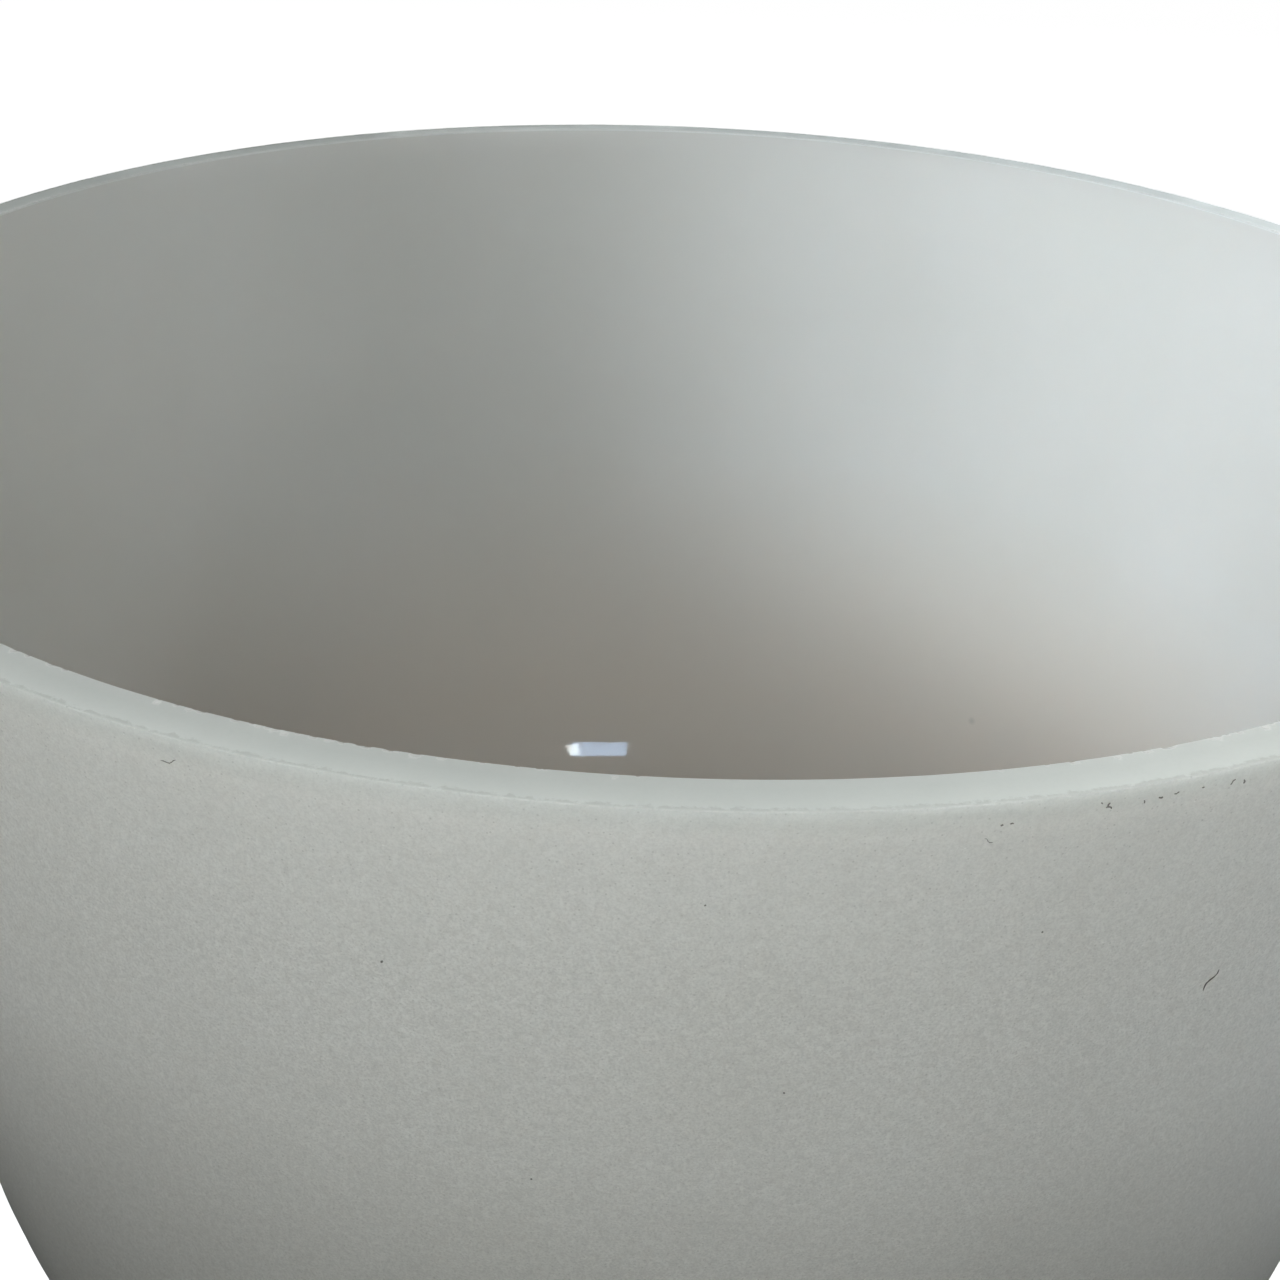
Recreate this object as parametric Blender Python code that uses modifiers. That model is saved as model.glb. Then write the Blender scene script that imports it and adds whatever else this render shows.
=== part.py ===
"""Frosted quartz singing bowl on a rubber support ring, with a suede mallet lying beside it.

Metres, +Z up. The origin is on the bowl's axis, on the surface that the ring and the mallet lie on.
"""
import math

import bpy

# The bowl: one fused quartz vessel, a slow cone above and a rounded dome below.
RIM_RADIUS = 0.1524
BOWL_HEIGHT = 0.226
WALL_AT_RIM = 0.0056
WALL_AT_POLE = 0.0070
WALL_TAPER = math.radians(4.4)
SHOULDER_DEPTH = 0.85 * RIM_RADIUS
SHOULDER_POWER = 2.7
DOME_POWER = 2.2
LIP_BEVEL = 0.0007

# The support ring: a soft rubber O-ring that the dome sits in.
RING_RADIUS = 0.054
RING_SECTION = 0.0065

# The mallet: a wooden dowel in a rubber sleeve, with suede around the sleeve and on its two ends.
MALLET_LENGTH = 0.250
HEAD_LENGTH = 0.112
DOWEL_RADIUS = 0.0110
CORE_RADIUS = 0.0158
SUEDE = 0.0018
DOWEL_END_ROUNDING = 0.0045
EDGE = 0.0005
MALLET_MIDDLE = (0.004, -0.121)
MALLET_TURN = math.radians(-5.0)

# Pieces that touch keep this gap.
GAP = 0.0003

# How finely the round shapes are divided. The ring has a flat facet underneath, and so has the mallet.
BOWL_STEPS = 72
WALL_ROWS = 6
DOME_ROWS = 15
RING_STEPS = 72
RING_SECTION_STEPS = 14
MALLET_STEPS = 36
ROUNDING_ROWS = 4
SEAT_SAMPLES = 400

# Worked out from the dimensions above.
WRAP_INNER_RADIUS = CORE_RADIUS + GAP
WRAP_RADIUS = WRAP_INNER_RADIUS + SUEDE
RING_CENTRE_HEIGHT = RING_SECTION * math.cos(math.pi / RING_SECTION_STEPS)
MALLET_AXIS_HEIGHT = WRAP_RADIUS * math.cos(math.pi / MALLET_STEPS)
INNER_RADIUS = RIM_RADIUS - WALL_AT_RIM
INNER_DEPTH = BOWL_HEIGHT - WALL_AT_POLE


def clear_scene():
    """Remove every object that the file holds."""
    for old in list(bpy.data.objects):
        bpy.data.objects.remove(old, do_unlink=True)


def new_collection(name):
    """A collection of that name, linked to the scene."""
    collection = bpy.data.collections.new(name)
    bpy.context.scene.collection.children.link(collection)
    return collection


def new_material(name, colour, roughness, metallic=0.0):
    """A Principled material with one colour."""
    material = bpy.data.materials.new(name)
    material.use_nodes = True
    shader = material.node_tree.nodes["Principled BSDF"]
    shader.inputs["Base Color"].default_value = (*colour, 1.0)
    shader.inputs["Roughness"].default_value = roughness
    shader.inputs["Metallic"].default_value = metallic
    return material


def add_turned(name, profile, closed, steps, material, collection):
    """Turn a profile of (radius, height) points about Z. It runs down the shape's outer side."""
    points = [(radius, 0.0, height) for radius, height in profile]
    edges = [(index, index + 1) for index in range(len(points) - 1)]
    if closed:
        edges.append((len(points) - 1, 0))
    mesh = bpy.data.meshes.new(name)
    mesh.from_pydata(points, edges, [])
    piece = bpy.data.objects.new(name, mesh)
    collection.objects.link(piece)
    screw = piece.modifiers.new("turn", "SCREW")
    screw.axis = "Z"
    screw.angle = 2.0 * math.pi
    screw.steps = steps
    screw.render_steps = steps
    screw.use_merge_vertices = True
    screw.merge_threshold = 0.00002
    screw.use_smooth_shade = True
    mesh.materials.append(material)
    return piece


def vessel_curve(radius, depth, wall_rows, dome_rows):
    """One side of the vessel from the rim to the pole, as (radius, depth below the rim) points."""
    curve = []
    for row in range(wall_rows):
        below = SHOULDER_DEPTH * row / wall_rows
        curve.append((radius - below * math.tan(WALL_TAPER), below))
    for row in range(dome_rows + 1):
        angle = 0.5 * math.pi * row / dome_rows
        below = SHOULDER_DEPTH + (depth - SHOULDER_DEPTH) * math.sin(angle) ** (2.0 / SHOULDER_POWER)
        cone = radius - below * math.tan(WALL_TAPER)
        round_in = max(math.cos(angle), 0.0) ** (2.0 / DOME_POWER)
        curve.append((cone * round_in, below))
    curve[-1] = (0.0, depth)
    return curve


def bowl_profile():
    """The bowl's section: up the inside from the pole, over the flat ground rim, and down the outside."""
    inside = vessel_curve(INNER_RADIUS, INNER_DEPTH, WALL_ROWS, DOME_ROWS)
    outside = vessel_curve(RIM_RADIUS, BOWL_HEIGHT, WALL_ROWS, DOME_ROWS)
    lip = [(RIM_RADIUS - LIP_BEVEL, 0.0), (RIM_RADIUS, LIP_BEVEL)]
    section = list(reversed(inside)) + lip + outside[1:]
    return [(radius, BOWL_HEIGHT - below) for radius, below in section]


def seat_height():
    """How high the bowl's pole stands when the dome rests on the ring with the gap all round."""
    reach = RING_SECTION + GAP
    lifts = []
    for radius, below in vessel_curve(RIM_RADIUS, BOWL_HEIGHT, WALL_ROWS, SEAT_SAMPLES):
        across = abs(radius - RING_RADIUS)
        if across < reach:
            ring_top = RING_CENTRE_HEIGHT + math.sqrt(reach ** 2 - across ** 2)
            lifts.append(ring_top - (BOWL_HEIGHT - below))
    return max(lifts)


def add_bowl(collection):
    """The quartz vessel, with its own origin at the pole."""
    quartz = new_material("frosted_quartz", (0.62, 0.63, 0.60), 0.75)
    bowl = add_turned("bowl", bowl_profile(), False, BOWL_STEPS, quartz, collection)
    bowl.location = (0.0, 0.0, seat_height())
    return bowl


def add_support_ring(collection):
    """The rubber O-ring, standing on the flat facets under its section."""
    bpy.ops.mesh.primitive_torus_add(
        major_segments=RING_STEPS,
        minor_segments=RING_SECTION_STEPS,
        major_radius=RING_RADIUS,
        minor_radius=RING_SECTION,
        location=(0.0, 0.0, RING_CENTRE_HEIGHT),
    )
    ring = bpy.context.active_object
    ring.name = "support_ring"
    for home in list(ring.users_collection):
        home.objects.unlink(ring)
    collection.objects.link(ring)
    ring.data.shade_smooth()
    ring.data.materials.append(new_material("ring_rubber", (0.03, 0.03, 0.032), 0.7))
    return ring


def sleeve_profile(inner_radius, outer_radius, low, high, edge):
    """The section of a sleeve or washer with its outer edges broken, down its outer side and up its bore."""
    return [
        (outer_radius - edge, high),
        (outer_radius, high - edge),
        (outer_radius, low + edge),
        (outer_radius - edge, low),
        (inner_radius, low),
        (inner_radius, high),
    ]


def dowel_profile():
    """The handle's section: a plain dowel with a rounded end, its other end cut square in the sleeve."""
    straight = DOWEL_RADIUS - DOWEL_END_ROUNDING
    profile = [(0.0, MALLET_LENGTH)]
    for row in range(ROUNDING_ROWS + 1):
        angle = 0.5 * math.pi * (1.0 - row / ROUNDING_ROWS)
        radius = straight + DOWEL_END_ROUNDING * math.cos(angle)
        height = MALLET_LENGTH - DOWEL_END_ROUNDING * (1.0 - math.sin(angle))
        profile.append((radius, height))
    start = SUEDE + GAP
    profile.append((DOWEL_RADIUS, start + EDGE))
    profile.append((DOWEL_RADIUS - EDGE, start))
    profile.append((0.0, start))
    return profile


def disc_profile(radius, low, high, edge):
    """The section of a solid disc with its upper and lower edges broken."""
    return [(0.0, high), (radius - edge, high), (radius, high - edge), (radius, low + edge),
            (radius - edge, low), (0.0, low)]


def add_mallet(collection):
    """The five pieces of the mallet, built along Z from the head's tip and laid down by their empty."""
    wood = new_material("mallet_wood", (0.45, 0.27, 0.14), 0.45)
    rubber = new_material("mallet_rubber", (0.05, 0.05, 0.05), 0.8)
    suede = new_material("mallet_suede", (0.42, 0.29, 0.19), 0.95)
    bore = DOWEL_RADIUS + GAP
    core = sleeve_profile(bore, CORE_RADIUS, SUEDE + GAP, HEAD_LENGTH - SUEDE - GAP, EDGE)
    wrap = sleeve_profile(WRAP_INNER_RADIUS, WRAP_RADIUS, 0.0, HEAD_LENGTH, EDGE)
    collar = sleeve_profile(bore, CORE_RADIUS, HEAD_LENGTH - SUEDE, HEAD_LENGTH, EDGE / 2.0)
    disc = disc_profile(CORE_RADIUS, 0.0, SUEDE, EDGE / 2.0)
    pieces = [
        add_turned("mallet_handle", dowel_profile(), False, MALLET_STEPS, wood, collection),
        add_turned("mallet_core", core, True, MALLET_STEPS, rubber, collection),
        add_turned("mallet_suede_wrap", wrap, True, MALLET_STEPS, suede, collection),
        add_turned("mallet_end_disc", disc, False, MALLET_STEPS, suede, collection),
        add_turned("mallet_collar", collar, True, MALLET_STEPS, suede, collection),
    ]
    place = bpy.data.objects.new("mallet_place", None)
    collection.objects.link(place)
    place.rotation_euler = (0.0, 0.5 * math.pi, MALLET_TURN)
    along = 0.5 * MALLET_LENGTH
    place.location = (
        MALLET_MIDDLE[0] - along * math.cos(MALLET_TURN),
        MALLET_MIDDLE[1] - along * math.sin(MALLET_TURN),
        MALLET_AXIS_HEIGHT,
    )
    for piece in pieces:
        piece.parent = place
        piece.rotation_euler = (0.0, 0.0, math.pi / MALLET_STEPS)
    return pieces


def build():
    """Make the whole set."""
    clear_scene()
    collection = new_collection("singing_bowl")
    add_support_ring(collection)
    add_bowl(collection)
    add_mallet(collection)


build()
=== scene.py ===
"""The looks of a frosted quartz singing bowl, its rubber ring and its suede mallet.

Everything is in metres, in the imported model's frame: +Z up, the origin on the bowl's axis on the floor.
"""
import math
import random

import bpy
import numpy as np
from mathutils import Matrix, Vector, noise


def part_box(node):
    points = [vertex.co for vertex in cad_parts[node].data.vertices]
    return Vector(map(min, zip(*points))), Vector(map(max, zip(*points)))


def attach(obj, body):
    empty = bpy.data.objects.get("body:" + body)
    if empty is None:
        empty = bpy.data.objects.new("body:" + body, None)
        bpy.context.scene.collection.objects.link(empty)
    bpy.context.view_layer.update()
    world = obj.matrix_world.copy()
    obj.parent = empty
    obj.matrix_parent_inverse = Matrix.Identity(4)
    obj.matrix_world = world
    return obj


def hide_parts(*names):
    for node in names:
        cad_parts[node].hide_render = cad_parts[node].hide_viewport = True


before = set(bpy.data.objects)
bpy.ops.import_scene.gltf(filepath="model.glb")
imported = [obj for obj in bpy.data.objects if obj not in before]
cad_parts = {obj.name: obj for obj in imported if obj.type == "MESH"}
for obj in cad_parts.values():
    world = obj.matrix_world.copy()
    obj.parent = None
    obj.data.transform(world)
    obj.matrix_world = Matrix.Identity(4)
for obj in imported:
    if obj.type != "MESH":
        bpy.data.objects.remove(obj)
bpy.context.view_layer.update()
bowl_low, bowl_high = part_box("bowl")
ring_low, ring_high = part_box("support_ring")
head_low, head_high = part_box("mallet_suede_wrap")

MM = 0.001

# The bowl's section, as the CAD has it.
RIM_RADIUS = bowl_high.x
BOWL_HEIGHT = bowl_high.z - bowl_low.z
WALL_AT_RIM = 5.6 * MM
WALL_AT_POLE = 7.0 * MM
WALL_TAPER = math.radians(4.4)
SHOULDER_DEPTH = 0.85 * RIM_RADIUS
SHOULDER_POWER = 2.7
DOME_POWER = 2.2
INNER_RADIUS = RIM_RADIUS - WALL_AT_RIM
INNER_DEPTH = BOWL_HEIGHT - WALL_AT_POLE

# The bowl's fine mesh: its material zones, the spacing of its rows and the points round them.
WALL, GROUND, GLAZE = 0, 1, 2
RIM_ZONE = 3.0 * MM
WALL_ROW = 5.6 * MM
DOME_ROWS = 28
LIP_BEVEL = 0.16 * MM
EDGE_RADIUS = 0.10 * MM
POINT_GAP = 1.1 * MM
FEWEST_POINTS = 30
WALL_POINTS = 480
RIM_POINTS = 4 * WALL_POINTS
EDGE_POINTS = 8 * WALL_POINTS
# Rows over the rim: mm down the outer wall, inward over the ground face, then down the inner wall, each with
# the points round it.
OUTER_ROWS = ((2.0, 2 * WALL_POINTS), (1.4, RIM_POINTS))
FACE_ROWS = ((2.0, RIM_POINTS), (3.4, RIM_POINTS), (4.4, RIM_POINTS),
             (4.85, EDGE_POINTS), (5.08, EDGE_POINTS), (5.25, EDGE_POINTS), (5.38, EDGE_POINTS))
INNER_ROWS = ((0.24, EDGE_POINTS, GROUND), (0.42, EDGE_POINTS, GROUND),
              (0.9, RIM_POINTS, GLAZE), (1.6, 2 * WALL_POINTS, GLAZE))

# How far the surfaces stray inward from the true section: slow waves that grow over WAVE_STARTS below the
# rim and fade over FOOT_FADE above the foot, and a nibbled lip.
WALL_WAVE = 0.10 * MM
WALL_RIPPLE = 0.03 * MM
MEAN_WAVE = WALL_WAVE + WALL_RIPPLE
GLAZE_WAVE = 0.05 * MM
WAVE_STARTS = 6.0 * MM
FOOT_FADE = 30.0 * MM
NIBBLE = 0.07 * MM
NIBBLE_DROP = 0.02 * MM
NIBBLE_REACH = 1.6 * MM

# The chips round the rim's inner edge, and the painted highlight round each.
CHIP_COUNT = 520
CHIP_SEED = 5
CHIPPED_DEPTH = 1.2 * MM
LARGEST_CHIP = 1.6 * MM
DEEPEST_BITE = 0.13 * MM
HALO_WIDTH = 0.12 * MM
HALO_WHITE = 0.7

# The painted highlight line along the inner edge: how far it reaches to each side, and down.
EDGE_LINE = 0.26 * MM
EDGE_LINE_DEPTH = 0.30 * MM

# The ring, with a flat where it stands and the line that its mould left.
RING_RADIUS = 54.0 * MM
RING_SECTION = 0.5 * (ring_high.z - ring_low.z)
RING_ROWS = 56
RING_POINTS = 288
RING_FLAT = 0.05 * MM
RING_WAVER = 0.04 * MM
FLASH = 0.11 * MM
FLASH_WIDTH = 0.30 * MM

# The mallet's own axis is local Z from the head's end face to the handle's end, and local X points down.
MALLET_LENGTH = 250.0 * MM
MALLET_TURN = math.radians(-5.0)
MALLET_MIDDLE = Vector((4.0 * MM, -121.0 * MM, 0.5 * (head_low.z + head_high.z)))
HEAD_LENGTH = 112.0 * MM
HANDLE_START = 2.1 * MM
HANDLE_ROUNDING = 4.5 * MM
LEATHER = 1.8 * MM
DISC_HOLLOW = 0.25 * MM
DOWEL_RADIUS = 11.0 * MM
CORE_RADIUS = 15.8 * MM
WRAP_INSIDE = 16.1 * MM
WRAP_OUTSIDE = 17.9 * MM
HANDLE_POINTS = 96
DISC_POINTS = 128
SEAM = math.radians(217.0)
STITCH_PITCH = 4.0 * MM
STITCH_REACH = 2.1 * MM
STITCH_LEAN = 0.9 * MM
STITCH_COUNT = 27
STITCH_STEPS = 13
THREAD_RADIUS = 0.34 * MM
SEAM_DEPTH = 0.75 * MM
SEAM_WIDTH = 0.34 * MM
LIP_RISE = 0.10 * MM
LIP_FROM_SEAM = 1.3 * MM
LIP_WIDTH = 0.7 * MM
HOLE_DEPTH = 0.42 * MM
HOLE_WIDTH = 0.6 * MM
PUCKER = 0.05 * MM
PUCKER_REACH = 4.0 * MM
MALLET_AXIS = Vector((math.cos(MALLET_TURN), math.sin(MALLET_TURN), 0.0))
MALLET_PLACE = (Matrix.Translation(MALLET_MIDDLE - 0.5 * MALLET_LENGTH * MALLET_AXIS)
                @ Matrix.Rotation(MALLET_TURN, 4, "Z") @ Matrix.Rotation(0.5 * math.pi, 4, "Y"))


# ---------------------------------------------------------------- meshes

def rounded_noise(point, scale, seed):
    """Smooth noise of about -1 to 1 at a point in metres, with features of the given size in metres."""
    return noise.noise(Vector((point[0] / scale + seed, point[1] / scale, point[2] / scale)))


def new_object(name, vertices, faces):
    """A smooth-shaded mesh object of that name in the scene."""
    mesh = bpy.data.meshes.new(name)
    mesh.from_pydata([tuple(v) for v in vertices], [], faces)
    mesh.update()
    mesh.shade_smooth()
    piece = bpy.data.objects.new(name, mesh)
    bpy.context.scene.collection.objects.link(piece)
    return piece


def ring_of_points(radius, height, count):
    """Points round the axis, as an array."""
    angles = np.arange(count) * (2.0 * math.pi / count)
    return np.stack([radius * np.cos(angles), radius * np.sin(angles), np.full(count, height)], axis=1)


def bridge(start_a, count_a, start_b, count_b):
    """Faces between two rings whose point counts are equal, or one twice the other. Ring b lies inward
    or downward of ring a along the surface, and the faces point to the right of that walk."""
    faces = []
    if count_a == count_b:
        for i in range(count_a):
            j = (i + 1) % count_a
            faces.append((start_a + i, start_b + i, start_b + j, start_a + j))
    elif count_b == 2 * count_a:
        for i in range(count_a):
            j = (i + 1) % count_a
            middle = start_b + 2 * i + 1
            faces.append((start_a + i, start_b + 2 * i, middle))
            faces.append((start_a + i, middle, start_a + j))
            faces.append((start_a + j, middle, start_b + 2 * j))
    else:
        for i in range(count_b):
            j = (i + 1) % count_b
            middle = start_a + 2 * i + 1
            faces.append((start_b + i, middle, start_a + 2 * i))
            faces.append((start_b + i, start_b + j, middle))
            faces.append((start_b + j, start_a + 2 * j, middle))
    return faces


# ---------------------------------------------------------------- the bowl's shape

def wall_radius(depth, radius, full_depth):
    """The vessel's radius at a depth below the rim."""
    cone = radius - depth * math.tan(WALL_TAPER)
    if depth <= SHOULDER_DEPTH:
        return cone
    down = min((depth - SHOULDER_DEPTH) / (full_depth - SHOULDER_DEPTH), 1.0)
    return cone * (1.0 - down ** SHOULDER_POWER) ** (1.0 / DOME_POWER)


def count_at(radius):
    """How many points a ring of that radius has, halving towards the pole."""
    count = WALL_POINTS
    while count > FEWEST_POINTS and 2.0 * math.pi * radius / count < POINT_GAP:
        count //= 2
    return count


def side_rows(radius, full_depth):
    """Rows of one side of the vessel below the rim zone, down to the pole, as (radius, depth, count)."""
    rows = []
    wall_rows = int((SHOULDER_DEPTH - RIM_ZONE) / WALL_ROW)
    for row in range(wall_rows):
        depth = RIM_ZONE + (SHOULDER_DEPTH - RIM_ZONE) * row / wall_rows
        rows.append((wall_radius(depth, radius, full_depth), depth, WALL_POINTS))
    for row in range(DOME_ROWS):
        angle = 0.5 * math.pi * row / DOME_ROWS
        depth = SHOULDER_DEPTH + (full_depth - SHOULDER_DEPTH) * math.sin(angle) ** (2.0 / SHOULDER_POWER)
        cone = radius - depth * math.tan(WALL_TAPER)
        at = cone * math.cos(angle) ** (2.0 / DOME_POWER)
        rows.append((at, depth, count_at(at)))
    return rows


def rim_rows():
    """Rows over the rim, from the outer wall to the inner one, as (radius, depth, count, zone)."""
    rows = []
    for depth, count in OUTER_ROWS:
        rows.append((RIM_RADIUS - depth * MM * math.tan(WALL_TAPER), depth * MM, count, WALL))
    for step in range(5):
        angle = 0.5 * math.pi * step / 4
        rows.append((RIM_RADIUS - LIP_BEVEL * (1.0 - math.cos(angle)),
                     LIP_BEVEL * (1.0 - math.sin(angle)), RIM_POINTS, WALL if step < 4 else GROUND))
    for inward, count in FACE_ROWS:
        rows.append((RIM_RADIUS - inward * MM, 0.0, count, GROUND))
    for step in range(3):
        angle = 0.5 * math.pi * step / 2
        rows.append((INNER_RADIUS + EDGE_RADIUS * (1.0 - math.sin(angle)),
                     EDGE_RADIUS * (1.0 - math.cos(angle)), EDGE_POINTS, GROUND))
    for depth, count, zone in INNER_ROWS:
        rows.append((INNER_RADIUS - depth * MM * math.tan(WALL_TAPER), depth * MM, count, zone))
    return rows


def chip_edge(points, chips):
    """Push the points near the inner edge off spheres that bite into it, as new shell-shaped nicks.
    Returns how white each point is: 1 in a nick (paler glass, partly painted highlight), less in a painted
    halo round it."""
    white = np.zeros(len(points))
    angles = np.arctan2(points[:, 1], points[:, 0])
    radii = np.hypot(points[:, 0], points[:, 1])
    near_edge = np.abs(radii - INNER_RADIUS) < LARGEST_CHIP
    near_edge &= points[:, 2] > bowl_high.z - CHIPPED_DEPTH
    for angle, size, bite, lean, shift in chips:
        reach = size * 1.5 / INNER_RADIUS
        gap = np.abs((angles - angle + math.pi) % (2.0 * math.pi) - math.pi)
        chosen = np.where(near_edge & (gap < reach))[0]
        if len(chosen) == 0:
            continue
        off = size - bite
        at = INNER_RADIUS + shift - off * math.cos(lean)
        centre = np.array([at * math.cos(angle), at * math.sin(angle), bowl_high.z + off * math.sin(lean)])
        away = points[chosen] - centre
        length = np.linalg.norm(away, axis=1)
        hit = length < size
        moved = chosen[hit]
        points[moved] = centre + away[hit] / length[hit, None] * size
        white[moved] = 1.0
        halo = chosen[(length >= size) & (length < size + HALO_WIDTH)]
        white[halo] = np.maximum(white[halo], HALO_WHITE)
    return white


def edge_chips():
    """Chips round the inner edge: mostly pinpricks, with a few wider shallow flakes, in loose clusters. Each
    is a sphere as (angle, radius, bite, lean, shift): how deep it cuts, how steeply it leans over the edge
    and how far outward it is set."""
    pick = random.Random(CHIP_SEED)
    chips = []
    while len(chips) < CHIP_COUNT:
        angle = pick.uniform(-math.pi, math.pi)
        crowd = noise.noise(Vector((3.1 * math.cos(angle), 3.1 * math.sin(angle), 7.7)))
        if pick.random() > 0.35 + 0.9 * crowd:
            continue
        size = min(MM * (0.32 + 0.28 * pick.expovariate(1.0)), LARGEST_CHIP)
        bite = min(size * pick.uniform(0.10, 0.34), DEEPEST_BITE)
        lean = math.radians(pick.uniform(66.0, 88.0))
        shift = MM * abs(pick.gauss(0.0, 0.22))
        chips.append((angle, size, bite, lean, shift))
    return chips


def bowl_rows():
    """All rows, from the foot over the rim to the bottom of the inside, as (radius, depth, count, zone)."""
    rows = [(r, d, c, WALL) for r, d, c in reversed(side_rows(RIM_RADIUS, BOWL_HEIGHT))]
    rows += rim_rows()
    rows += [(r, d, c, GLAZE) for r, d, c in side_rows(INNER_RADIUS, INNER_DEPTH)]
    return rows


def bowl_faces(rows, starts, poles):
    """Faces between the rows and round the two poles, and each face's zone."""
    faces, zones = [], []
    for index in range(len(rows) - 1):
        made = bridge(starts[index + 1], rows[index + 1][2], starts[index], rows[index][2])
        faces += made
        zones += [max(rows[index][3], rows[index + 1][3])] * len(made)
    count = rows[0][2]
    for i in range(count):
        faces.append((poles, (i + 1) % count, i))
        zones.append(WALL)
    start, count = starts[-1], rows[-1][2]
    for i in range(count):
        faces.append((poles + 1, start + i, start + (i + 1) % count))
        zones.append(GLAZE)
    return faces, zones


def add_floats(piece, name, values):
    """Give each of a mesh's points a number that its material reads."""
    piece.data.attributes.new(name, "FLOAT", "POINT").data.foreach_set("value", values)


def make_bowl():
    """The vessel as one fine closed mesh, in three material zones: wall, ground rim, inside."""
    rows = bowl_rows()
    points, starts, total = [], [], 0
    for radius, depth, count, zone in rows:
        starts.append(total)
        points.append(ring_of_points(radius, bowl_high.z - depth, count))
        total += count
    faces, zones = bowl_faces(rows, starts, total)
    poles = np.array([[0.0, 0.0, bowl_low.z], [0.0, 0.0, bowl_high.z - INNER_DEPTH]])
    points = np.concatenate(points + [poles])
    points = waver(points, rows, starts)
    # How white each point is: paler broken glass in the nicks, partly a painted highlight, and a painted
    # highlight round them.
    white = chip_edge(points, edge_chips())
    bowl = new_object("quartz_bowl", points, faces)
    bowl.data.polygons.foreach_set("material_index", zones)
    add_floats(bowl, "chip", white)
    # The points of the inner edge, where the ground face gets a painted highlight line.
    from_edge = np.abs(np.hypot(points[:, 0], points[:, 1]) - INNER_RADIUS)
    on_edge = (from_edge < EDGE_LINE) & (points[:, 2] > bowl_high.z - EDGE_LINE_DEPTH)
    add_floats(bowl, "edge", on_edge.astype(float))
    return bowl


def waver(points, rows, starts):
    """Give the walls their slow unevenness and the lip its ragged bevel. Nothing grows outward."""
    for (radius, depth, count, zone), start in zip(rows, starts):
        if radius < 2.0 * MM:
            continue
        lip = zone != GLAZE and depth < 1.5 * MM and radius > RIM_RADIUS - 0.6 * MM
        for i in range(start, start + count):
            x, y, z = points[i]
            slow = rounded_noise((x, y, z), 0.045, 3.0)
            if zone == WALL:
                ripple = rounded_noise((x, y, z), 0.011, 9.0)
                inward = WALL_WAVE * (1.0 + slow) + WALL_RIPPLE * (1.0 + ripple)
                inward *= min(depth / WAVE_STARTS, 1.0) * min((BOWL_HEIGHT - depth) / FOOT_FADE, 1.0)
            elif zone == GLAZE:
                inward = GLAZE_WAVE * slow * min(depth / WAVE_STARTS, 1.0)
            else:
                inward = 0.0
            if lip:
                nibble = rounded_noise((x, y, 0.0), 0.0030, 21.0)
                nibble += 0.6 * rounded_noise((x, y, 0.0), 0.0011, 5.0)
                inward += NIBBLE * (1.0 + nibble) * (1.0 - depth / NIBBLE_REACH)
                points[i][2] -= NIBBLE_DROP * (1.0 + nibble)
            points[i][0] -= inward * x / radius
            points[i][1] -= inward * y / radius
    return points


# ---------------------------------------------------------------- materials

BLACK = (0.0, 0.0, 0.0)


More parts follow.
